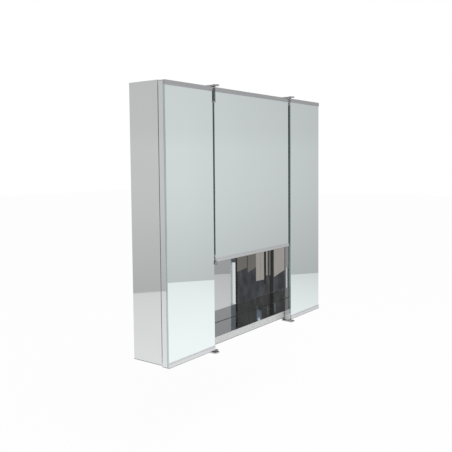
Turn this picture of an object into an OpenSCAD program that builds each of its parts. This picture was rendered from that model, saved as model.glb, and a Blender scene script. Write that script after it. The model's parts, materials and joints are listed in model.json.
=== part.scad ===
// Wall-hung bathroom cabinet with three mirrored doors and an open niche
// under the middle door. Millimetres. X runs along the wall, Y into the wall
// and Z up. The origin is the middle of the wall-screw pattern, on the back.

/* [Case] */
// Width across the three closed doors
doors_w = 704; // [640:1:900]
// Height of the case
case_h = 640; // [580:1:800]
// Depth of the case, from the wall to its front
case_d = 87.5; // [75:0.5:160]
// Thickness of the stainless sheet
sheet_t = 1.2; // [0.8:0.1:2]
// How far the doors reach past each side of the case
door_overhang = 2; // [0.5:0.5:4]
// Width of the folded returns round the front of the case
return_w = 10; // [9:0.5:14]

/* [Wall screws] */
// Radius of a wall-screw hole
wall_hole_r = 3; // [2:0.25:5]
// Distance between the wall screws along the wall
wall_screw_x = 530; // [480:5:560]
// Distance between the upper and lower wall screws
wall_screw_z = 520; // [400:5:560]

/* [Niche] */
// Height of the front rail, level with the niche floor
rail_h = 19; // [14:0.5:30]
// Height of the niche ceiling above the bottom of the case
niche_top = 213; // [150:1:300]
// Height of the folded upstand at the front of the niche ceiling
ceiling_fold_h = 12; // [10:0.5:16]
// How far each niche wall stands back behind the side door's edge
niche_wall_inset = 4; // [1:0.5:8]
// Width of the folded returns that close the door gaps from behind, above the niche
gap_return_w = 16; // [12:0.5:24]

/* [Doors] */
// Width of each side door
side_door_w = 170; // [150:1:220]
// Gap between neighbouring doors, where the hinges sit
door_gap = 9; // [8.5:0.5:14]
// Clear space between the doors' backs and the case
door_clear = 2.5; // [2:0.5:6]
// How far the middle door's glass lies behind the side doors' glass, and how much thinner it is
middle_setback = 2; // [0:0.5:2.5]
// How far the side doors reach below the case
door_drop = 2; // [1:0.5:4]
// How far the doors' top edge lies below the top of the case
door_top_gap = 1.5; // [1:0.5:4]
// Gap between the niche ceiling and the middle door's lower edge
middle_door_lift = 1; // [0.5:0.5:3]

/* [Door frame] */
// Thickness of the mirror glass
glass_t = 5; // [4:0.5:6]
// Depth of the side doors' aluminium stiles behind the glass
stile_d = 14; // [11:0.5:18]
// Width of the aluminium stiles
stile_w = 16; // [10:0.5:24]
// Wall thickness of the aluminium profiles
profile_t = 1.5; // [1:0.1:2]
// Height of the rail lip over the top of the glass
top_lip_h = 11; // [8:0.5:14]
// How far the top rail grips the glass, below its hollow
glass_grip = 2.5; // [1.5:0.5:5]
// Height of the rail lip over the bottom of the side doors' glass
bottom_lip_h = 12; // [8:0.5:14]
// Height of the rail lip over the bottom of the middle door's glass
middle_lip_h = 10; // [8:0.5:14]
// Thickness of the rail lip in front of the glass
lip_t = 1.2; // [0.8:0.1:1.3]
// Height of the thin step along the rail lip, next to the glass
lip_step_h = 2.5; // [1.5:0.5:4]
// Thickness of the lip at that step
lip_step_t = 0.5; // [0.3:0.1:0.7]
// Thickness of the door's back cover
cover_t = 1; // [0.6:0.1:1.5]
// Inset of the back cover from the door's sides
cover_inset = 3; // [2:0.5:6]

/* [Hinges] */
// How far the pivot axes stand in front of the side doors' glass
pivot_front = 1.5; // [1.5:0.1:2.5]
// Radius of the hinge pins
pin_r = 2; // [1.5:0.1:2.5]
// Radial running clearance round a hinge pin
pin_fit = 0.05; // [0.02:0.01:0.1]
// Radius of a pin's head
pin_head_r = 3.5; // [3:0.1:4]
// Thickness of a pin's head
pin_head_t = 1.2; // [0.8:0.1:2]
// Outer radius of a door arm's eye
eye_r = 3.5; // [3.2:0.1:4]
// Height of a door arm's eye
eye_h = 3; // [2.5:0.5:6]
// How far the side doors' lower eyes hang below the doors' edge
eye_drop = 2.5; // [0.5:0.5:5]
// Height of a door arm's leaf
leaf_h = 18; // [16:0.5:24]
// Thickness of a door arm's leaf
leaf_t = 1.5; // [1:0.1:2]
// Inset of an arm from the door's top or bottom, and of its leaf from the door's faces
arm_inset = 0.5; // [0.3:0.1:1]
// Distance between an arm's two screws
arm_screw_gap = 10; // [8:0.5:12]
// Width of the upper hinge plates
plate_w = 12; // [9:0.5:14]
// Thickness of the hinge plates
plate_t = 3; // [2:0.25:4]
// How far the upper hinge plates reach in front of the side doors' glass
plate_front = 15; // [8:0.5:20]
// Width of the lower hinge plates
low_plate_w = 18; // [14:0.5:24]
// How far the lower plates reach past their pins, towards the middle of the cabinet
low_plate_in = 4; // [3.5:0.25:6]
// How far the lower plates reach in front of the side doors' glass
low_plate_front = 9; // [6:0.5:16]
// Radius of the lower plates' front corners
low_plate_corner_r = 5; // [2:0.5:6]
// Length of the hinge plates over the case
plate_back = 40; // [36:1:60]
// Gap between the lower eyes and the lower hinge plates, filled by a washer
plate_clear = 0.5; // [0.5:0.25:2]
// Width of the middle door's lower bracket, where it passes the door gap
tongue_w = 7; // [6:0.25:8]
// Thickness of the middle door's lower bracket
tongue_t = 2; // [1.5:0.25:3]
// Width of that bracket's pad, under the niche ceiling
pad_w = 20; // [18:1:30]
// Length of that bracket's pad
pad_l = 30; // [24:1:45]
// Radius of the hinge-plate screws
screw_r = 1.5; // [1.25:0.05:1.75]
// Radial clearance round the screws
screw_fit = 0.1; // [0.05:0.01:0.15]
// Radius of a screw head
screw_head_r = 2.8; // [2.4:0.1:3.2]
// Height of a hinge-plate screw's head
screw_head_h = 1.6; // [1:0.1:2]
// Distance between the two screws of a hinge plate
plate_screw_gap = 18; // [14:1:24]
// Length of the hinge-plate screws
screw_l = 12; // [9:0.5:14]

/* [Shelves] */
// Thickness of the glass shelves
shelf_t = 5; // [4:0.5:8]
// Clearance between a shelf and each wall beside it
shelf_clear = 0.5; // [0.3:0.1:1]
// Distance of the shelves behind the front of the case
shelf_front = 6; // [4:0.5:12]
// Distance of the shelves in front of the back panel
shelf_back = 2; // [1:0.5:6]
// Radius of the shelves' front corners
shelf_corner_r = 6; // [2:0.5:12]
// Height of the side doors' lower shelf above the bottom of the case
side_shelf_low = 212; // [120:1:260]
// Height of the side doors' upper shelf above the bottom of the case
side_shelf_high = 424; // [330:1:500]
// Height of the middle shelf above the bottom of the case
middle_shelf_z = 424; // [330:1:500]
// Radius of a shelf stud
stud_r = 3; // [2:0.25:4]
// Length of a shelf stud
stud_l = 8; // [5:0.5:12]
// Distance of the studs from a shelf's front and back edges
stud_inset = 14; // [8:1:20]

/* [Catches and bumpers] */
// Width of a magnetic catch
catch_w = 40; // [30:1:50]
// Height of a magnetic catch
catch_h = 12; // [11:0.5:16]
// Length of a magnetic catch, front to back
catch_l = 28; // [20:1:40]
// Distance of a catch from its door's free edge
catch_edge = 16; // [15:1:30]
// Clearance between a catch and the fold that it passes
catch_fit = 0.5; // [0.3:0.1:1]
// Thickness of a catch's strike plate
strike_t = 1.2; // [0.8:0.1:1.3]
// Width of a strike plate
strike_w = 36; // [24:1:44]
// Height of a strike plate
strike_h = 9; // [7:0.5:11]
// Gap between moving parts and what they close on
close_gap = 0.3; // [0.2:0.05:0.5]
// Radius of a rubber bumper
bumper_r = 4; // [3:0.25:4.5]
// Distance of the bumpers from the ends of what they sit on
bumper_end = 30; // [20:1:60]

/* [Hidden] */
$fn = 48;

// Heights of the case
bottom_z = -case_h / 2;
top_z = case_h / 2;
floor_in_z = bottom_z + sheet_t;
roof_in_z = top_z - sheet_t;
niche_floor_z = bottom_z + rail_h;
niche_ceiling_z = bottom_z + niche_top;
// Places across the case
side_x = doors_w / 2 - door_overhang;
side_in_x = side_x - sheet_t;
niche_x = doors_w / 2 - side_door_w + niche_wall_inset;
partition_out_x = niche_x + sheet_t;
// Places from front to back
front_y = -case_d;
front_in_y = front_y + sheet_t;
back_in_y = -sheet_t;
door_d = glass_t + stile_d + cover_t;
glass_y = front_y - door_clear - door_d;
middle_glass_y = glass_y + middle_setback;
// All three doors end at the same depth
stile_back_y = glass_y + glass_t + stile_d;
door_back_y = stile_back_y + cover_t;
// The pivot axes of the doors, one at each door gap
pivot_x = doors_w / 2 - side_door_w - door_gap / 2;
pivot_y = glass_y - pivot_front;
// Each door: left edge, right edge, lower edge, upper edge, glass face, lower lip height
door_top_z = top_z - door_top_gap;
door_bottom_z = bottom_z - door_drop;
middle_bottom_z = niche_ceiling_z + middle_door_lift;
left_door = [-doors_w / 2, -doors_w / 2 + side_door_w, door_bottom_z, door_top_z, glass_y, bottom_lip_h];
middle_door = [-pivot_x + door_gap / 2, pivot_x - door_gap / 2, middle_bottom_z, door_top_z,
    middle_glass_y, middle_lip_h];
// Hinge plates: the lower ones step down under the side doors' lower eyes
low_eye_z = door_bottom_z - eye_drop;
low_plate_z = low_eye_z - plate_clear;
// Arms: the lowest point of each
top_arm_z = door_top_z - arm_inset - leaf_h;
middle_top_arm_z = top_arm_z - leaf_h - 1;
bottom_arm_z = door_bottom_z + arm_inset;
middle_bottom_arm_z = middle_bottom_z + arm_inset;
// The lowest point of the side doors' upper eyes
top_eye_z = top_arm_z + leaf_h - eye_h;
arm_screw_r = screw_r - 0.25;
arm_screw_head_r = arm_screw_r + 1;
arm_screw_head_h = 0.8;
arm_screw_l = 6;
spacer_r = eye_r - 0.5;
// Screws of the hinge plates
plate_screws_y = [front_y + plate_back / 2 - plate_screw_gap / 2,
    front_y + plate_back / 2 + plate_screw_gap / 2];
pad_screws_y = [front_y + pad_l / 4 + 1, front_y + pad_l * 3 / 4 + 1];
pad_screw_x = -niche_x + pad_w / 2;
pad_screw_l = 7;
// The left edge of each catch
catch_xs = [-doors_w / 2 + catch_edge, pivot_x - door_gap / 2 - catch_edge - catch_w,
    doors_w / 2 - catch_edge - catch_w];
// The small overlap that keeps cuts clean
cut = 1;

steel = [0.78, 0.78, 0.79];
polished = [0.70, 0.70, 0.71];
alu = [0.83, 0.84, 0.86];
silver_mirror = [0.78, 0.83, 0.83];
glass_green = [0.72, 0.85, 0.82];
hardware = [0.55, 0.55, 0.56];
black = [0.12, 0.12, 0.12];

// A box between two corners
module block(lo, hi) {
    translate(lo) cube([hi[0] - lo[0], hi[1] - lo[1], hi[2] - lo[2]]);
}

// An upright cylinder between two heights
module post(x, y, z_lo, z_hi, r) {
    translate([x, y, z_lo]) cylinder(r = r, h = z_hi - z_lo);
}

// A cylinder along Y between two depths
module rod_y(x, z, y_lo, y_hi, r) {
    translate([x, y_lo, z]) rotate([-90, 0, 0]) cylinder(r = r, h = y_hi - y_lo);
}

// A cylinder along X between two places
module rod_x(y, z, x_lo, x_hi, r) {
    translate([x_lo, y, z]) rotate([0, 90, 0]) cylinder(r = r, h = x_hi - x_lo);
}

// The left side of the case, with its folded front return
module side_sheet() {
    block([-side_x, front_y, bottom_z], [-side_in_x, 0, top_z]);
    block([-side_in_x, front_y, niche_floor_z], [-side_in_x + return_w, front_in_y, roof_in_z - return_w]);
}

module case_left_side() {
    color(steel) side_sheet();
}

module case_right_side() {
    color(steel) mirror([1, 0, 0]) side_sheet();
}

module case_top() {
    color(steel) difference() {
        union() {
            block([-side_in_x, front_y, roof_in_z], [side_in_x, 0, top_z]);
            block([-side_in_x, front_y, roof_in_z - return_w], [side_in_x, front_in_y, roof_in_z]);
        }
        for (x = catch_xs)
            block([x - catch_fit, front_y - cut, roof_in_z - return_w - cut],
                [x + catch_w + catch_fit, front_in_y + cut, roof_in_z]);
        for (x = [-pivot_x, pivot_x], y = plate_screws_y)
            post(x, y, roof_in_z - cut, top_z + cut, screw_r + screw_fit);
    }
}

module case_bottom() {
    color(steel) difference() {
        block([-side_in_x, front_in_y, bottom_z], [side_in_x, 0, floor_in_z]);
        for (x = [-pivot_x, pivot_x], y = plate_screws_y)
            post(x, y, bottom_z - cut, floor_in_z + cut, screw_r + screw_fit);
    }
}

module back_panel() {
    color(polished) difference() {
        block([-side_in_x, back_in_y, floor_in_z], [side_in_x, 0, roof_in_z]);
        for (x = [-1, 1], z = [-1, 1])
            rod_y(x * wall_screw_x / 2, z * wall_screw_z / 2, back_in_y - cut, cut, wall_hole_r);
    }
}

// A niche wall. Above the niche, its front return closes the door gap from behind.
module partition_sheet() {
    block([-partition_out_x, front_in_y, floor_in_z], [-niche_x, back_in_y, roof_in_z]);
    block([-partition_out_x, front_y, niche_floor_z], [-niche_x, front_in_y, roof_in_z - return_w]);
    block([-niche_x, front_y, niche_ceiling_z + ceiling_fold_h],
        [-niche_x + gap_return_w, front_in_y, roof_in_z - return_w]);
}

module left_partition() {
    color(polished) partition_sheet();
}

module right_partition() {
    color(polished) mirror([1, 0, 0]) partition_sheet();
}

module niche_ceiling() {
    color(steel) difference() {
        union() {
            block([-niche_x, front_in_y, niche_ceiling_z], [niche_x, back_in_y, niche_ceiling_z + sheet_t]);
            block([-niche_x, front_y, niche_ceiling_z],
                [niche_x, front_in_y, niche_ceiling_z + ceiling_fold_h]);
        }
        for (y = pad_screws_y)
            post(pad_screw_x, y, niche_ceiling_z - cut, niche_ceiling_z + sheet_t + cut, screw_r + screw_fit);
    }
}

module niche_floor() {
    color(polished) block([-niche_x, front_in_y, niche_floor_z - sheet_t],
        [niche_x, back_in_y, niche_floor_z]);
}

module front_rail() {
    color(steel) block([-side_in_x, front_y, bottom_z], [side_in_x, front_in_y, niche_floor_z]);
}

// A glass shelf between two walls, with rounded front corners, standing on z
module shelf(x_lo, x_hi, z) {
    y_lo = front_y + shelf_front;
    y_hi = back_in_y - shelf_back;
    translate([0, 0, z]) linear_extrude(shelf_t) {
        translate([x_lo, y_lo + shelf_corner_r]) square([x_hi - x_lo, y_hi - y_lo - shelf_corner_r]);
        translate([x_lo + shelf_corner_r, y_lo]) square([x_hi - x_lo - 2 * shelf_corner_r, shelf_corner_r]);
        for (x = [x_lo + shelf_corner_r, x_hi - shelf_corner_r])
            translate([x, y_lo + shelf_corner_r]) circle(shelf_corner_r);
    }
}

module side_shelf(z) {
    shelf(-side_in_x + shelf_clear, -partition_out_x - shelf_clear, bottom_z + z);
}

module left_lower_shelf() {
    color(glass_green) side_shelf(side_shelf_low);
}

module left_upper_shelf() {
    color(glass_green) side_shelf(side_shelf_high);
}

module middle_shelf() {
    color(glass_green) shelf(-niche_x + shelf_clear, niche_x - shelf_clear, bottom_z + middle_shelf_z);
}

module right_lower_shelf() {
    color(glass_green) mirror([1, 0, 0]) side_shelf(side_shelf_low);
}

module right_upper_shelf() {
    color(glass_green) mirror([1, 0, 0]) side_shelf(side_shelf_high);
}

// The four studs under one shelf, which touch the walls on either side of it
module studs_under(x_lo, x_hi, z) {
    for (y = [front_y + shelf_front + stud_inset, back_in_y - shelf_back - stud_inset]) {
        rod_x(y, bottom_z + z - stud_r - 0.05, x_lo, x_lo + stud_l, stud_r);
        rod_x(y, bottom_z + z - stud_r - 0.05, x_hi - stud_l, x_hi, stud_r);
    }
}

module shelf_studs() {
    color(hardware) {
        for (z = [side_shelf_low, side_shelf_high]) {
            studs_under(-side_in_x, -partition_out_x, z);
            studs_under(partition_out_x, side_in_x, z);
        }
        studs_under(-niche_x, niche_x, middle_shelf_z);
    }
}

// The plan of an upper hinge plate: straight over the case, with a rounded front end
module top_plate_plan() {
    translate([-plate_w / 2, glass_y - plate_front + plate_w / 2])
        square([plate_w, front_y + plate_back - glass_y + plate_front - plate_w / 2]);
    translate([0, glass_y - plate_front + plate_w / 2]) circle(plate_w / 2);
}

// A flat hinge plate that lies on the case top
module top_plate() {
    difference() {
        translate([0, 0, top_z]) linear_extrude(plate_t) top_plate_plan();
        post(0, pivot_y, top_z - cut, top_z + plate_t + cut, pin_r + pin_fit);
        for (y = plate_screws_y)
            post(0, y, top_z - cut, top_z + plate_t + cut, screw_r + screw_fit);
    }
}

module top_left_hinge_plate() {
    color(hardware) translate([-pivot_x, 0, 0]) top_plate();
}

module top_right_hinge_plate() {
    color(hardware) translate([pivot_x, 0, 0]) top_plate();
}

// A cranked hinge plate that lies under the case and steps down under the left door
module bottom_plate() {
    x_lo = low_plate_in - low_plate_w;
    x_hi = low_plate_in;
    y_lo = glass_y - low_plate_front;
    difference() {
        union() {
            translate([0, 0, low_plate_z - plate_t]) linear_extrude(plate_t) {
                translate([x_lo, y_lo + low_plate_corner_r])
                    square([low_plate_w, front_y + plate_t - y_lo - low_plate_corner_r]);
                translate([x_lo + low_plate_corner_r, y_lo])
                    square([low_plate_w - 2 * low_plate_corner_r, low_plate_corner_r]);
                for (x = [x_lo + low_plate_corner_r, x_hi - low_plate_corner_r])
                    translate([x, y_lo + low_plate_corner_r]) circle(low_plate_corner_r);
            }
            block([x_lo, front_y, low_plate_z - plate_t], [x_hi, front_y + plate_t, bottom_z]);
            block([x_lo, front_y, bottom_z - plate_t], [x_hi, front_y + plate_back, bottom_z]);
        }
        post(0, pivot_y, low_plate_z - plate_t - cut, low_plate_z + cut, pin_r + pin_fit);
        for (y = plate_screws_y)
            post(0, y, bottom_z - plate_t - cut, bottom_z + cut, screw_r + screw_fit);
    }
}

module bottom_left_hinge_plate() {
    color(hardware) translate([-pivot_x, 0, 0]) bottom_plate();
}

module bottom_right_hinge_plate() {
    color(hardware) translate([pivot_x, 0, 0]) mirror([1, 0, 0]) bottom_plate();
}

// The bracket under the niche ceiling that carries the middle door's lower pin
module middle_pivot_bracket() {
    color(hardware) difference() {
        union() {
            block([-pivot_x - tongue_w / 2, pivot_y, niche_ceiling_z - tongue_t],
                [-pivot_x + tongue_w / 2, front_y + pad_l / 2, niche_ceiling_z]);
            post(-pivot_x, pivot_y, niche_ceiling_z - tongue_t, niche_ceiling_z, tongue_w / 2);
            block([-niche_x, front_y + 1, niche_ceiling_z - tongue_t],
                [-niche_x + pad_w, front_y + 1 + pad_l, niche_ceiling_z]);
        }
        post(-pivot_x, pivot_y, niche_ceiling_z - tongue_t - cut, niche_ceiling_z + cut, pin_r + pin_fit);
        for (y = pad_screws_y)
            post(pad_screw_x, y, niche_ceiling_z - tongue_t - cut, niche_ceiling_z + cut,
                screw_r + screw_fit);
    }
}

// A pin with its head at one end
module pin(x, z_head, z_end, up) {
    post(x, pivot_y, min(z_head, z_end), max(z_head, z_end), pin_r);
    post(x, pivot_y, z_head - (up ? 0 : pin_head_t), z_head + (up ? pin_head_t : 0), pin_head_r);
}

module top_left_pin() {
    color(hardware) pin(-pivot_x, top_z + plate_t, middle_top_arm_z - 1, true);
}

module top_right_pin() {
    color(hardware) pin(pivot_x, top_z + plate_t, top_eye_z - 1, true);
}

module bottom_left_pin() {
    color(hardware) pin(-pivot_x, low_plate_z - plate_t, low_eye_z + eye_h + 1, false);
}

module bottom_right_pin() {
    color(hardware) pin(pivot_x, low_plate_z - plate_t, low_eye_z + eye_h + 1, false);
}

module middle_pivot_pin() {
    color(black) pin(-pivot_x, niche_ceiling_z - tongue_t, middle_bottom_arm_z + eye_h + 1, false);
}

// A plastic spacer ring on a pin
module spacer(x, z_lo, z_hi, r) {
    difference() {
        post(x, pivot_y, z_lo, z_hi, r);
        post(x, pivot_y, z_lo - cut, z_hi + cut, pin_r + pin_fit);
    }
}

module hinge_spacers() {
    color(black) {
        for (x = [-pivot_x, pivot_x]) {
            spacer(x, top_eye_z + eye_h, top_z, spacer_r);
            spacer(x, low_plate_z, low_eye_z, spacer_r);
        }
        spacer(-pivot_x, middle_top_arm_z + eye_h, top_eye_z, pin_r + 1);
        spacer(-pivot_x, niche_ceiling_z, middle_bottom_arm_z, spacer_r);
    }
}

// An upright screw: its head's seat, the way it points and its length
module screw(x, y, z_seat, up, l) {
    post(x, y, up ? z_seat : z_seat - l, up ? z_seat + l : z_seat, screw_r);
    post(x, y, up ? z_seat - screw_head_h : z_seat, up ? z_seat : z_seat + screw_head_h, screw_head_r);
}

module hinge_screws() {
    color(hardware) {
        for (x = [-pivot_x, pivot_x], y = plate_screws_y) {
            screw(x, y, top_z + plate_t, false, screw_l);
            screw(x, y, bottom_z - plate_t, true, screw_l);
        }
        for (y = pad_screws_y)
            screw(pad_screw_x, y, niche_ceiling_z - tongue_t, true, pad_screw_l);
    }
}

// A magnetic catch under the case top, with two steel pole faces at its front
module catch(x) {
    face_y = door_back_y + strike_t + close_gap;
    pole_w = 3;
    difference() {
        block([x, face_y, roof_in_z - catch_h], [x + catch_w, face_y + catch_l, roof_in_z]);
        block([x - cut, face_y - cut, roof_in_z - catch_h / 2 - pole_w / 2],
            [x + catch_w + cut, face_y + 1, roof_in_z - catch_h / 2 + pole_w / 2]);
    }
}

module magnetic_catches() {
    color(black) for (x = catch_xs) catch(x);
}

// A bumper on the case front, at one place
module bumper(x, z) {
    rod_y(x, z, door_back_y + close_gap, front_y, bumper_r);
}

module door_bumpers() {
    side_bumper_x = side_in_x - return_w / 2;
    middle_bumper_x = pivot_x - door_gap / 2 - bumper_end;
    color(black) {
        for (side = [-1, 1], z = [niche_floor_z + bumper_end, roof_in_z - return_w - bumper_end])
            bumper(side * side_bumper_x, z);
        bumper(-middle_bumper_x, roof_in_z - return_w / 2);
        for (side = [-1, 1])
            bumper(side * middle_bumper_x, niche_ceiling_z + ceiling_fold_h - bumper_r - 0.5);
    }
}

// The mirror of a door, a plain sheet of silvered glass. The top rail is hollow above it.
module door_mirror(d) {
    color(silver_mirror) block([d[0], d[4], d[2] + profile_t],
        [d[1], d[4] + glass_t, d[3] - top_lip_h + glass_grip]);
}

// A rail that wraps the end of the glass and the stiles. The lip steps down next to the glass.
module rail(d, z_end, inward, lip_h) {
    module strip(y_lo, y_hi, h_lo, h_hi) {
        block([d[0], y_lo, min(z_end + inward * h_lo, z_end + inward * h_hi)],
            [d[1], y_hi, max(z_end + inward * h_lo, z_end + inward * h_hi)]);
    }
    color(alu) {
        strip(d[4] - lip_t, door_back_y, 0, profile_t);
        strip(d[4] - lip_t, d[4], 0, lip_h - lip_step_h);
        strip(d[4] - lip_step_t, d[4], 0, lip_h);
        strip(stile_back_y, door_back_y, 0, lip_h);
    }
}

module top_rail(d) {
    rail(d, d[3], -1, top_lip_h);
}

module bottom_rail(d) {
    rail(d, d[2], 1, d[5]);
}

// The heights of the screws in an arm whose lowest point is z, and their depth in a door
function arm_screw_zs(z) = [z + (leaf_h - arm_screw_gap) / 2, z + (leaf_h + arm_screw_gap) / 2];
function arm_screw_y(d) = (d[4] + glass_t + stile_back_y) / 2;

// The stile on one side of a door, a channel open towards the door's middle
module stile(d, edge_x, inward, arm_zs) {
    y_lo = d[4] + glass_t;
    in_x = edge_x + inward * stile_w;
    web_x = edge_x + inward * profile_t;
    color(alu) difference() {
        block([min(edge_x, in_x), y_lo, d[2] + profile_t],
            [max(edge_x, in_x), stile_back_y, d[3] - profile_t]);
        block([min(web_x, in_x + inward * cut), y_lo + profile_t, d[2]],
            [max(web_x, in_x + inward * cut), stile_back_y - profile_t, d[3]]);
        for (arm_z = arm_zs, z = arm_screw_zs(arm_z))
            rod_x(arm_screw_y(d), z, edge_x - stile_w / 4, edge_x + stile_w / 4, arm_screw_r + screw_fit);
    }
}

// The steel sheet that closes the back of a door, between the rails' back lips
module back_cover(d) {
    color(steel) block([d[0] + cover_inset, stile_back_y, d[2] + d[5]],
        [d[1] - cover_inset, door_back_y, d[3] - top_lip_h]);
}

// A door arm at the left pivot. side is -1 where the door lies to its left and
// 1 where it lies to its right. The leaf lies on the door's edge, and the eye
// turns on the pin. The leaf is longer where the eye hangs below it.
module arm(d, side, z, eye_z) {
    leaf_y = d[4] + arm_inset;
    edge_x = -pivot_x + side * door_gap / 2;
    leaf_x = edge_x - side * leaf_t;
    color(hardware) difference() {
        union() {
            block([min(edge_x, leaf_x), leaf_y, min(z, eye_z)],
                [max(edge_x, leaf_x), stile_back_y - arm_inset, z + leaf_h]);
            post(-pivot_x, pivot_y, eye_z, eye_z + eye_h, eye_r);
            block([min(-pivot_x, edge_x), pivot_y, eye_z],
                [max(-pivot_x, edge_x), leaf_y + leaf_t, eye_z + eye_h]);
        }
        post(-pivot_x, pivot_y, eye_z - cut, eye_z + eye_h + cut, pin_r + pin_fit);
        for (sz = arm_screw_zs(z))
            rod_x(arm_screw_y(d), sz, min(edge_x, leaf_x) - cut, max(edge_x, leaf_x) + cut,
                arm_screw_r + screw_fit);
    }
}

// The screws that hold a door's two arms, with their flat heads in the door gap
module arm_screws(d, side, arm_zs) {
    leaf_x = -pivot_x + side * (door_gap / 2 - leaf_t);
    head_x = leaf_x - side * arm_screw_head_h;
    end_x = leaf_x + side * arm_screw_l;
    color(hardware) for (arm_z = arm_zs, z = arm_screw_zs(arm_z)) {
        rod_x(arm_screw_y(d), z, min(head_x, leaf_x), max(head_x, leaf_x), arm_screw_head_r);
        rod_x(arm_screw_y(d), z, min(leaf_x, end_x), max(leaf_x, end_x), arm_screw_r);
    }
}

// The strike plate on a door's back, opposite its catch
module strike(catch_x) {
    mid_x = catch_x + catch_w / 2;
    mid_z = roof_in_z - catch_h / 2;
    color(steel) block([mid_x - strike_w / 2, door_back_y, mid_z - strike_h / 2],
        [mid_x + strike_w / 2, door_back_y + strike_t, mid_z + strike_h / 2]);
}

side_arm_zs = [top_arm_z, bottom_arm_z];
middle_arm_zs = [middle_top_arm_z, middle_bottom_arm_z];

module left_mirror() { door_mirror(left_door); }
module left_top_rail() { top_rail(left_door); }
module left_bottom_rail() { bottom_rail(left_door); }
module left_outer_stile() { stile(left_door, left_door[0], 1, []); }
module left_inner_stile() { stile(left_door, left_door[1], -1, side_arm_zs); }
module left_back_cover() { back_cover(left_door); }
module left_top_arm() { arm(left_door, -1, top_arm_z, top_eye_z); }
module left_bottom_arm() { arm(left_door, -1, bottom_arm_z, low_eye_z); }
module left_arm_screws() { arm_screws(left_door, -1, side_arm_zs); }
module left_strike() { strike(catch_xs[0]); }

module middle_mirror() { door_mirror(middle_door); }
module middle_top_rail() { top_rail(middle_door); }
module middle_bottom_rail() { bottom_rail(middle_door); }
module middle_hinge_stile() { stile(middle_door, middle_door[0], 1, middle_arm_zs); }
module middle_free_stile() { stile(middle_door, middle_door[1], -1, []); }
module middle_back_cover() { back_cover(middle_door); }
module middle_top_arm() { arm(middle_door, 1, middle_top_arm_z, middle_top_arm_z); }
module middle_bottom_arm() { arm(middle_door, 1, middle_bottom_arm_z, middle_bottom_arm_z); }
module middle_arm_screws() { arm_screws(middle_door, 1, middle_arm_zs); }
module middle_strike() { strike(catch_xs[1]); }

// The right door is the left door's mirror image
module right_mirror() { mirror([1, 0, 0]) left_mirror(); }
module right_top_rail() { mirror([1, 0, 0]) left_top_rail(); }
module right_bottom_rail() { mirror([1, 0, 0]) left_bottom_rail(); }
module right_outer_stile() { mirror([1, 0, 0]) left_outer_stile(); }
module right_inner_stile() { mirror([1, 0, 0]) left_inner_stile(); }
module right_back_cover() { mirror([1, 0, 0]) left_back_cover(); }
module right_top_arm() { mirror([1, 0, 0]) left_top_arm(); }
module right_bottom_arm() { mirror([1, 0, 0]) left_bottom_arm(); }
module right_arm_screws() { mirror([1, 0, 0]) left_arm_screws(); }
module right_strike() { mirror([1, 0, 0]) left_strike(); }

case_left_side();
case_right_side();
case_top();
case_bottom();
back_panel();
left_partition();
right_partition();
niche_ceiling();
niche_floor();
front_rail();
left_lower_shelf();
left_upper_shelf();
middle_shelf();
right_lower_shelf();
right_upper_shelf();
shelf_studs();
top_left_hinge_plate();
top_right_hinge_plate();
bottom_left_hinge_plate();
bottom_right_hinge_plate();
middle_pivot_bracket();
top_left_pin();
top_right_pin();
bottom_left_pin();
bottom_right_pin();
middle_pivot_pin();
hinge_spacers();
hinge_screws();
magnetic_catches();
door_bumpers();
left_mirror();
left_top_rail();
left_bottom_rail();
left_outer_stile();
left_inner_stile();
left_back_cover();
left_top_arm();
left_bottom_arm();
left_arm_screws();
left_strike();
middle_mirror();
middle_top_rail();
middle_bottom_rail();
middle_hinge_stile();
middle_free_stile();
middle_back_cover();
middle_top_arm();
middle_bottom_arm();
middle_arm_screws();
middle_strike();
right_mirror();
right_top_rail();
right_bottom_rail();
right_outer_stile();
right_inner_stile();
right_back_cover();
right_top_arm();
right_bottom_arm();
right_arm_screws();
right_strike();
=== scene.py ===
import json
import math

import bmesh
import bpy
from mathutils import Matrix, Vector


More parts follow.
